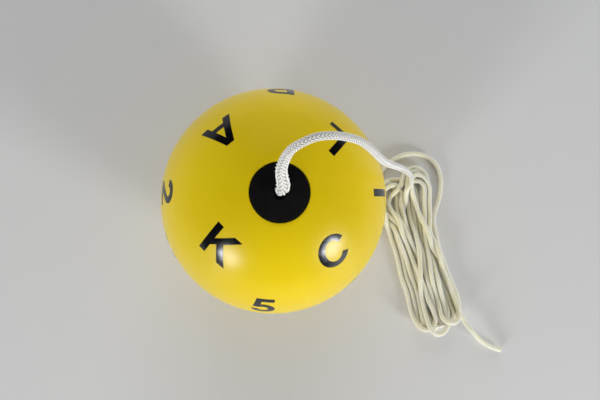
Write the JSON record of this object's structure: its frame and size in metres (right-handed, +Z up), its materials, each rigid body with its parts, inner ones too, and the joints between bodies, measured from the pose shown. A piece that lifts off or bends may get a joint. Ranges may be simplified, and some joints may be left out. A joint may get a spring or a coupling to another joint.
{
  "type": "hanging vision training ball",
  "caption": "Hollow yellow ball printed with scattered black characters, hung by a white braided cord through a black plug; the cord is wound into a hank beside it.",
  "frame": {"origin": "the point on the table under the ball, at the middle of the small flat that it rests on", "axes": "+Z up along the ball's pole axis through the plug and the cord's exit; +X points to the side where the hank lies; the hank's free tail points to +X and -Y"},
  "size_m": [0.1801, 0.132, 0.1359],
  "materials": {
    "yellow_vinyl": "satin soft vinyl, faintly mottled",
    "black_rubber": "dull moulded rubber",
    "black_ink": "thin glossy pad-printed ink",
    "white_braid": "braided synthetic cord, slightly lustrous"
  },
  "bodies": {
    "cord": {"cord_lead": "white_braid", "cord_hank": "white_braid", "cord_tail": "white_braid"},
    "cord_end": {"stopper_knot": "white_braid"},
    "ball": {"ball_shell": "yellow_vinyl", "cord_plug": "black_rubber", "print_A": "black_ink", "print_L": "black_ink", "print_C": "black_ink", "print_K": "black_ink", "print_I": "black_ink", "print_P": "black_ink", "print_2": "black_ink", "print_5": "black_ink", "print_E": "black_ink", "print_7": "black_ink", "print_H": "black_ink", "print_N": "black_ink", "print_T": "black_ink", "print_4": "black_ink", "print_Z": "black_ink", "print_O": "black_ink", "print_V": "black_ink", "print_F": "black_ink", "print_X": "black_ink", "print_U": "black_ink"}
  },
  "joints": [
    {"name": "ball_swing", "type": "hinge", "parent": "cord", "child": "cord_end", "pos_m": [0, 0, 0.1024], "axis": [0, 1, 0], "range_deg": [0, 40]},
    {"name": "ball_spin", "type": "hinge", "parent": "cord_end", "child": "ball", "pos_m": [0, 0, 0], "axis": [0, 0, 1], "continuous": true}
  ]
}
